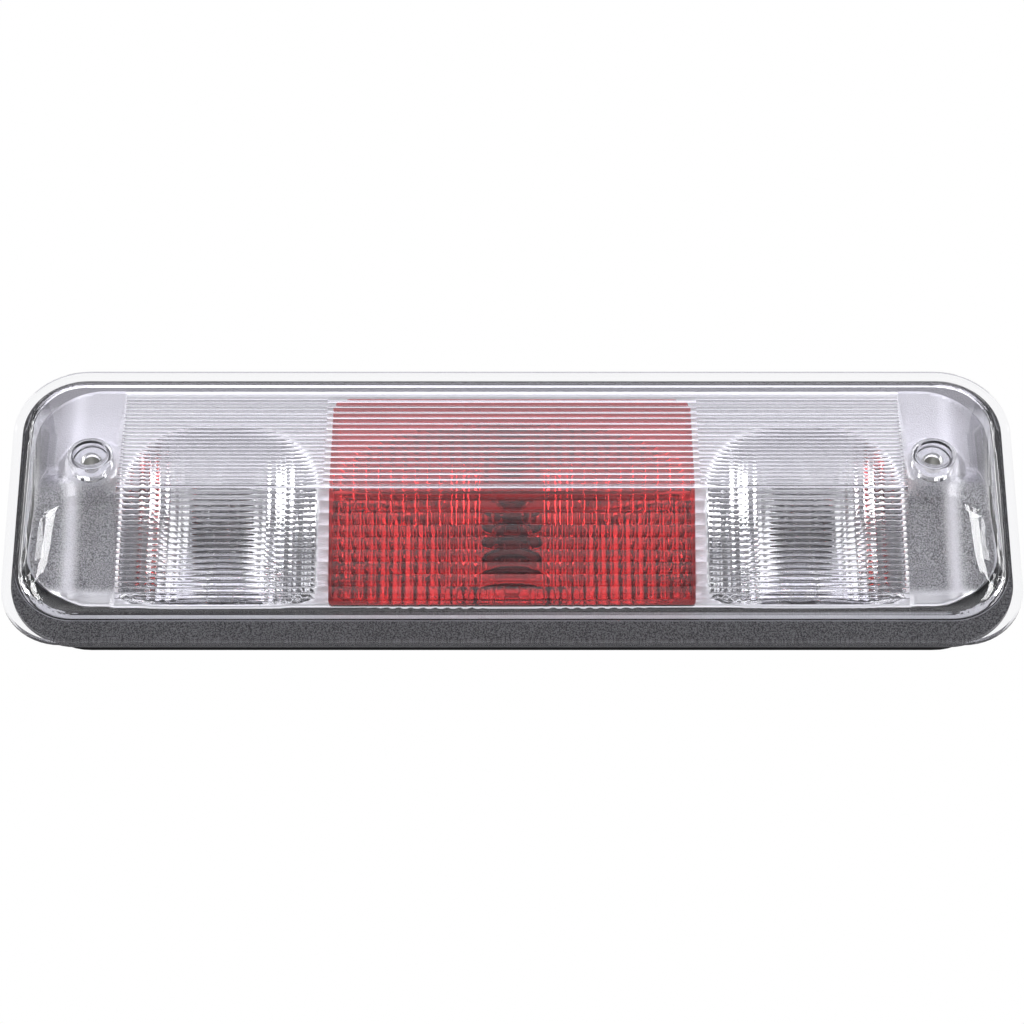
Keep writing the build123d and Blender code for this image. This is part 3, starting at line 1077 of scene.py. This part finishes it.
@dataclass(frozen=True)
class SculptedEnd:
    """End of the reflector: a swell, a lip and a ridge that runs up to the screw tower.

    A climb or a fall is given by the two places between which it happens.
    """

    plate: float
    screw: tuple[float, float]
    start: float = 0.1445
    start_blend: float = 0.002
    swell: float = 0.0030
    swell_climb: Span = (-0.030, 0.009)
    swell_fall: Span = (0.012, 0.046)
    foot_swell: float = 0.0010
    foot_fall: Span = (-0.043, -0.030)
    lip: float = 0.0012
    lip_climb: Span = (0.020, 0.032)
    lip_fall: Span = (0.030, 0.047)
    ridge_along: float = 0.163
    ridge_foot: float = -0.043
    ridge_run: float = 0.056
    ridge_half: float = 0.0045
    ridge_spread: float = 0.0040
    ridge_height: float = 0.0012
    ridge_rise: float = 0.0045
    ridge_slimness: float = 1.2
    ridge_fall: Span = (0.004, 0.014)
    tower_radius: float = 0.0093
    tower_skirt: float = 0.004
    tower_top: float = 0.0149
    tower_blend: float = 0.0015

    def base(self, beyond: float, up: float) -> float:
        """Finds the height of the swell and the lip.

        Args:
            beyond: Distance beyond the end's start.
            up: Place up the flange.

        Returns:
            The height out from the panel.
        """
        climb = smooth_step(up, *self.swell_climb)
        fall = 1 - smooth_step(up, *self.swell_fall)
        foot = 1 - smooth_step(up, *self.foot_fall)
        swell = self.swell * climb * fall + self.foot_swell * foot
        swell *= smooth_step(beyond, 0.0, self.start_blend)
        lip = self.lip * smooth_step(beyond, *self.lip_climb)
        return self.plate + swell + lip * (1 - smooth_step(up, *self.lip_fall))

    def ridge(self, reach: float, up: float) -> float:
        """Finds the height of the ridge over what it stands on.

        Args:
            reach: Distance from the lamp's middle.
            up: Place up the flange.

        Returns:
            The height of the ridge alone.
        """
        share = min(max((up - self.ridge_foot) / self.ridge_run, 0.0), 1.0)
        half = self.ridge_half + self.ridge_spread * share
        height = self.ridge_height + self.ridge_rise * share
        away = (reach - self.ridge_along) / half
        profile = math.exp(-self.ridge_slimness * away * away)
        return height * profile * (1 - smooth_step(up, *self.ridge_fall))

    def out(self, along: float, up: float) -> float:
        """Finds the height of the end's surface.

        Args:
            along: Place along the lamp.
            up: Place up the flange.

        Returns:
            The height out from the panel, the plate's own short of the end.
        """
        reach = abs(along)
        if reach <= self.start:
            return self.plate
        ridge = self.base(reach - self.start, up) + self.ridge(reach, up)
        from_screw = math.hypot(reach - self.screw[0], up - self.screw[1])
        skirt = smooth_step(from_screw, self.tower_radius, self.tower_radius + self.tower_skirt)
        tower = self.tower_top - (self.tower_top - self.plate) * skirt
        return smooth_max(ridge, tower, self.tower_blend)


@dataclass(frozen=True)
class Hole:
    """Round hole in the reflector."""

    along: float
    up: float
    radius: float

    def away(self, along: float, up: float) -> float:
        """Distance of a place from the hole's centre."""
        return math.hypot(along - self.along, up - self.up)

    def pull(self, along: float, up: float) -> tuple[float, float]:
        """Moves a place straight out or in to the hole's edge."""
        scale = self.radius / self.away(along, up)
        return self.along + (along - self.along) * scale, self.up + (up - self.up) * scale


@dataclass
class Reflector:
    """Metallised moulding: plate, three bowls and two sculpted ends with their screw towers."""

    frame: LampFrame
    finish: bpy.types.Material
    outline: Outline = Outline(half=0.1763, foot=-0.043, head=0.0478, corner=0.024)
    columns: int = 486
    rows: int = 74
    plate: float = 0.0077
    wall: float = 0.0012
    crease: float = math.radians(35)
    bowl_limit: float = 1.05
    cargo_along: float = 0.1077
    bulb_opening: float = 0.0115
    bulb_up: float = -0.006
    screw: tuple[float, float] = (0.155, 0.013)
    tower_hole: float = 0.0073
    snap_distance: float = 0.002
    bowls: list[Bowl] = field(init=False)
    end: SculptedEnd = field(init=False)
    holes: list[Hole] = field(init=False)

    def __post_init__(self) -> None:
        """Works out the bowls, the ends and the holes."""
        cargo = {"half": 0.0364, "flute": 0.0036, "smooth_half": 0.0125, "flute_depth": 0.0003}
        self.bowls = [
            Bowl(along=-self.cargo_along, **cargo),
            Bowl(along=0.0, half=0.0665, flute=0.0044, smooth_half=0.0082, flute_depth=0.0014),
            Bowl(along=self.cargo_along, **cargo),
        ]
        self.end = SculptedEnd(self.plate, self.screw)
        bulbs = [Hole(bowl.along, self.bulb_up, self.bulb_opening) for bowl in self.bowls]
        screws = [Hole(side * self.screw[0], self.screw[1], self.tower_hole) for side in (-1, 1)]
        self.holes = bulbs + screws

    def out(self, along: float, up: float) -> float:
        """Finds the height of the moulding's front surface.

        Args:
            along: Place along the lamp.
            up: Place up the flange.

        Returns:
            The height out from the panel.
        """
        for bowl in self.bowls:
            beside = abs(along - bowl.along) < bowl.half
            if beside and bowl.depth_share(along, up) < self.bowl_limit:
                return min(bowl.out(along, up, self.plate), self.plate)
        return self.end.out(along, up)

    def trimmed(self, along: float, up: float) -> bool:
        """Tells whether a place is outside the outline or in a hole."""
        in_hole = any(hole.away(along, up) < hole.radius for hole in self.holes)
        return in_hole or self.outline.offset(along, up) > 0

    def edge_place(self, along: float, up: float) -> tuple[float, float]:
        """Moves a place on a ragged edge on to the hole or outline that it belongs to.

        Args:
            along: Place along the lamp.
            up: Place up the flange.

        Returns:
            The place on the true edge.
        """
        near = min(self.holes, key=lambda hole: abs(hole.away(along, up) - hole.radius))
        if abs(near.away(along, up) - near.radius) < self.snap_distance:
            return near.pull(along, up)
        return self.outline.pull(along, up)

    def build(self) -> bpy.types.Object:
        """Builds the moulding from a flat grid that is trimmed and raised.

        Returns:
            The reflector piece.
        """
        mesh = bmesh.new()
        bmesh.ops.create_grid(mesh, x_segments=self.columns, y_segments=self.rows, size=1.0)
        bmesh.ops.scale(mesh, vec=(self.outline.half, self.outline.reach, 1.0), verts=mesh.verts)
        bmesh.ops.translate(mesh, vec=(0.0, self.outline.centre, 0.0), verts=mesh.verts)
        outside = [
            face for face in mesh.faces if self.trimmed(*face.calc_center_median().to_2d())
        ]
        bmesh.ops.delete(mesh, geom=outside, context="FACES")
        for vertex in mesh.verts:
            along, up = vertex.co.to_2d()
            if vertex.is_boundary:
                along, up = self.edge_place(along, up)
            vertex.co = self.frame.point(along, up, self.out(along, up))
        bmesh.ops.recalc_face_normals(mesh, faces=mesh.faces)
        if sum(face.normal.y for face in mesh.faces) > 0:
            bmesh.ops.reverse_faces(mesh, faces=mesh.faces)
        piece = new_piece("reflector_moulding", mesh, self.finish, self.crease)
        shell = piece.modifiers.new("wall", "SOLIDIFY")
        shell.thickness = self.wall
        shell.offset = -1.0
        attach(piece, "lamp")
        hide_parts("reflector")
        return piece


# ---------------------------------------------------------------- sockets


@dataclass
class SocketUnit:
    """A twist-lock socket with its seal, contacts, bulb and wound filament."""

    section: Section
    nodes: dict[str, bpy.types.Object]
    finishes: dict[str, bpy.types.Material]
    turns: int = 10
    steps_per_turn: int = 14
    coil_radius: float = 0.00042
    coil_length: float = 0.0046
    wire_radius: float = 0.00012
    wire_sides: int = 6
    lead_radius: float = 0.0003
    lead_sides: int = 10
    lead_spacing: float = 0.0056

    def dress(self) -> None:
        """Gives the CAD pieces of the unit their finishes."""
        name = self.section.value
        for piece, finish in (
            ("socket", "socket_plastic"), ("socket_seal", "seal_rubber"),
            ("contacts", "contact_brass"), ("bulb", "bulb_glass"),
        ):
            paint(self.nodes[f"{name}_{piece}"], self.finishes[finish])
            log.info("dressed %s_%s", name, piece)

    def wound_filament(self) -> bpy.types.Object:
        """Builds the coil between its two bent lead wires.

        Returns:
            The filament piece.
        """
        name = self.section.value
        low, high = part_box(f"{name}_filament")
        middle = (low + high) / 2
        front = low.y + self.coil_radius + self.wire_radius
        mesh = bmesh.new()
        self._coil(mesh, Vector((middle.x, front, middle.z)))
        for side in (-1, 1):
            foot = Vector((middle.x + side * self.lead_spacing / 2, high.y, middle.z))
            tip = Vector((middle.x + side * self.coil_length / 2, front, middle.z))
            self._lead(mesh, foot, tip)
        bmesh.ops.recalc_face_normals(mesh, faces=mesh.faces)
        piece = new_piece(f"{name}_wound_filament", mesh, self.finishes["filament_wire"])
        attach(piece, f"{name}_socket_unit")
        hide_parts(f"{name}_filament")
        return piece

    def _coil(self, mesh: bmesh.types.BMesh, centre: Vector) -> None:
        """Winds the coil about an axis along the lamp.

        Args:
            mesh: An empty mesh.
            centre: Middle of the coil.
        """
        start = centre + Vector((-self.coil_length / 2, -self.coil_radius, 0.0))
        bmesh.ops.create_circle(
            mesh, segments=self.wire_sides, radius=self.wire_radius, cap_ends=True,
            matrix=Matrix.Translation(start),
        )
        steps = self.turns * self.steps_per_turn
        bmesh.ops.spin(
            mesh, geom=[*mesh.verts, *mesh.edges, *mesh.faces], cent=centre,
            axis=(1.0, 0.0, 0.0), dvec=(self.coil_length / steps, 0.0, 0.0),
            angle=2 * math.pi * self.turns, steps=steps,
        )

    def _lead(self, mesh: bmesh.types.BMesh, foot: Vector, tip: Vector) -> None:
        """Draws one lead wire, straight out and then across to the coil.

        Args:
            mesh: Mesh to add it to.
            foot: Where it leaves the bulb's wedge.
            tip: Its place at the coil's end.
        """
        shoulder = Vector((foot.x, tip.y + abs(foot.x - tip.x), foot.z))
        for start, end in ((foot, shoulder), (shoulder, tip)):
            run = end - start
            turn = run.to_track_quat("Z", "X").to_matrix().to_4x4()
            bmesh.ops.create_cone(
                mesh, cap_ends=True, segments=self.lead_sides, radius1=self.lead_radius,
                radius2=self.lead_radius, depth=run.length,
                matrix=Matrix.Translation((start + end) / 2) @ turn,
            )


# ---------------------------------------------------------------- studio


@dataclass(frozen=True)
class Softbox:
    """Rectangular area light, placed from the lamp's middle and as bright as its radiance."""

    name: str
    place: tuple[float, float, float]
    size: tuple[float, float]
    radiance: float
    colour: Colour = WHITE

    def hang(self, middle: Vector) -> None:
        """Adds the light, facing the lamp.

        Args:
            middle: The lamp's middle.
        """
        width, height = self.size
        data = bpy.data.lights.new(self.name, "AREA")
        data.shape = "RECTANGLE"
        data.size = width
        data.size_y = height
        data.energy = self.radiance * math.pi * width * height
        data.color = self.colour
        lamp = bpy.data.objects.new(self.name, data)
        lamp.location = middle + Vector(self.place)
        lamp.rotation_euler = (-Vector(self.place)).to_track_quat("-Z", "Y").to_euler()
        bpy.context.scene.collection.objects.link(lamp)


@dataclass
class Studio:
    """Pale floor, soft lights, the surround and the camera.

    The surround's front is shaded by height, as a share of the way from straight down to
    straight up, and its backdrop is white but for its head.
    """

    frame: LampFrame
    distance: float = 1.33
    tilt: float = math.radians(30.0)
    sensor: float = 36.0
    lens: float = 126.16
    clip: Span = (0.01, 50.0)
    aim_lift: float = 0.0011
    floor_drop: float = 0.95
    floor_half: float = 12.0
    front_shades: tuple[tuple[float, Colour], ...] = (
        (0.25, (0.08, 0.08, 0.085)), (0.45, (0.03, 0.03, 0.035)), (0.58, (0.05, 0.05, 0.06)),
        (0.66, (0.11, 0.11, 0.12)), (0.73, (0.28, 0.28, 0.3)), (0.82, (0.36, 0.36, 0.39)),
        (0.93, (0.45, 0.44, 0.5)),
    )
    nadir_shade: Colour = (0.06, 0.06, 0.065)
    zenith_shade: Colour = (0.85, 0.83, 0.95)
    backdrop_start: float = 0.35
    backdrop_top: Span = (0.65, 0.85)
    backdrop_head: Colour = (0.4, 0.4, 0.45)

    def camera(self) -> None:
        """Places the camera below the flange's normal, on the lamp's middle."""
        data = bpy.data.cameras.new("camera")
        data.lens = self.lens
        data.sensor_width = self.sensor
        data.clip_start, data.clip_end = self.clip
        spot = bpy.data.objects.new("camera", data)
        away = Vector((0.0, -math.cos(self.tilt), -math.sin(self.tilt)))
        up = Vector((0.0, -math.sin(self.tilt), math.cos(self.tilt)))
        aim = self.frame.point(0.0, 0.0, 0.0) + up * self.aim_lift
        spot.location = aim + away * self.distance
        spot.rotation_euler = (-away).to_track_quat("-Z", "Y").to_euler()
        bpy.context.scene.collection.objects.link(spot)
        bpy.context.scene.camera = spot

    def softboxes(self) -> list[Softbox]:
        """Lists the lights.

        Returns:
            The overhead light, then a side and a front light for each end of the lamp.
        """
        found = [Softbox("overhead", (0.0, -0.42, 1.3), (2.2, 1.2), 1.6, (0.93, 0.91, 1.0))]
        for side in (-1, 1):
            found.append(Softbox("side", (side * 1.3, -0.62, -0.12), (0.4, 0.62), 14.0))
            found.append(Softbox("front", (side * 0.75, -1.15, 0.55), (0.5, 0.5), 2.8))
        return found

    def world(self) -> None:
        """Builds a surround: white where it is seen, and dim where the lamp's front mirrors it."""
        world = bpy.data.worlds.new("studio")
        bpy.context.scene.world = world
        world.use_nodes = True
        sheet = Sheet(world.node_tree)
        sheet.tree.nodes.clear()
        _, depth, height = sheet.split(sheet.node("ShaderNodeTexCoord").outputs["Generated"])
        front = sheet.node("ShaderNodeValToRGB")
        sheet.feed(front.inputs["Fac"], sheet.math("MULTIPLY_ADD", height, 0.5, 0.5))
        stops = front.color_ramp.elements
        stops[0].color = opaque(self.nadir_shade)
        stops[1].color = opaque(self.zenith_shade)
        for position, shade in self.front_shades:
            stops.new(position).color = opaque(shade)
        behind = sheet.ramp(depth, 0.0, self.backdrop_start, 0.0, 1.0)
        aloft = sheet.ramp(height, *self.backdrop_top, 0.0, 1.0)
        backdrop = sheet.mix(aloft, WHITE, self.backdrop_head)
        surround = sheet.mix(behind, front.outputs["Color"], backdrop)
        seen = sheet.node("ShaderNodeLightPath").outputs["Is Camera Ray"]
        background = sheet.node("ShaderNodeBackground")
        sheet.feed(background.inputs["Color"], sheet.mix(seen, surround, WHITE))
        output = sheet.node("ShaderNodeOutputWorld")
        sheet.feed(output.inputs["Surface"], background.outputs[0])

    def floor(self, effects: SharedEffects) -> None:
        """Lays a pale floor well below the lamp.

        Args:
            effects: The shared node groups.
        """
        mesh = bmesh.new()
        bmesh.ops.create_grid(mesh, x_segments=1, y_segments=1, size=self.floor_half)
        drop = self.frame.middle - self.floor_drop
        bmesh.ops.translate(mesh, vec=(0.0, 0.0, drop), verts=mesh.verts)
        paint_coat = SolidFinish(
            "floor_paint", (0.9, 0.9, 0.9), 0.8, relief=Relief.POLISHED, unevenness=0.01
        )
        new_piece("floor", mesh, paint_coat.build(effects))

    def build(self, effects: SharedEffects) -> None:
        """Builds the whole studio.

        Args:
            effects: The shared node groups.
        """
        self.camera()
        self.world()
        self.floor(effects)
        for softbox in self.softboxes():
            softbox.hang(self.frame.point(0.0, 0.0, 0.0))
        bpy.context.scene.view_settings.view_transform = "Standard"


def finishes(frame: LampFrame, effects: SharedEffects) -> dict[str, bpy.types.Material]:
    """Builds every finish of the lamp.

    Args:
        frame: The lamp's frame.
        effects: The shared node groups.

    Returns:
        The materials by name.
    """
    dome = Outline(half=0.1815, foot=-0.0482, head=0.053, corner=0.022)
    # outline of the painted shadow line under the reflector's edge
    shadow_line_edge = Outline(half=0.1812, foot=-0.0446, head=0.0526, corner=0.0218)
    made = [
        ClearFinish("clear_lens"),
        ClearFinish("red_plastic", tint=(0.78, 0.17, 0.17), shade=(0.78, 0.17, 0.17), ior=1.4),
        ClearFinish("bulb_glass", ior=1.47),
        MetallisedFinish(),
        HousingFinish(dome, shadow_line_edge, frame.middle),
        SolidFinish(
            "gasket_foam", (0.006, 0.006, 0.006), 0.95, relief=Relief.FOAMED, depth=0.0003,
            gloss=0.1,
        ),
        SolidFinish("sealing_bead", (0.01, 0.01, 0.01), 0.6),
        SolidFinish("zinc_steel", (0.62, 0.62, 0.6), 0.32, 1.0, depth=0.00003),
        SolidFinish("breather_membrane", (0.8, 0.8, 0.79), 0.85, depth=0.00005),
        SolidFinish("socket_plastic", (0.05, 0.05, 0.052), 0.5),
        SolidFinish("seal_rubber", (0.3, 0.06, 0.03), 0.6, depth=0.00004),
        SolidFinish("contact_brass", (0.75, 0.56, 0.28), 0.25, 1.0, depth=0.00002),
        SolidFinish("filament_wire", (0.5, 0.49, 0.47), 0.35, 1.0, Relief.POLISHED),
    ]
    return {finish.name: finish.build(effects) for finish in made}


def main() -> None:
    """Builds the lamp's looks round its CAD frame."""
    logging.basicConfig(level=logging.INFO, format="%(message)s")
    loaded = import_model()
    nodes = loaded["nodes"]
    frame = LampFrame.from_lens()
    effects = SharedEffects.build()
    Studio(frame).build(effects)
    made = finishes(frame, effects)
    for node, finish in (
        ("housing", "housing_plastic"), ("screw_sleeves", "zinc_steel"),
        ("breather_patch", "breather_membrane"),
    ):
        paint(nodes[node], made[finish])
        log.info("dressed %s", node)
    LensCover(frame, nodes, made["clear_lens"], made["red_plastic"]).build()
    log.info("built lens_cover and dressed red_filter")
    seals = Seals(frame, made["gasket_foam"], made["sealing_bead"])
    seals.gasket()
    seals.sealing_bead()
    log.info("built foam_gasket and sealing_bead")
    Reflector(frame, made["metallised_plastic"]).build()
    log.info("built reflector_moulding")
    for section in Section:
        unit = SocketUnit(section, nodes, made)
        unit.dress()
        unit.wound_filament()
        log.info("built %s_wound_filament", section.value)


if __name__ == "__main__":
    main()
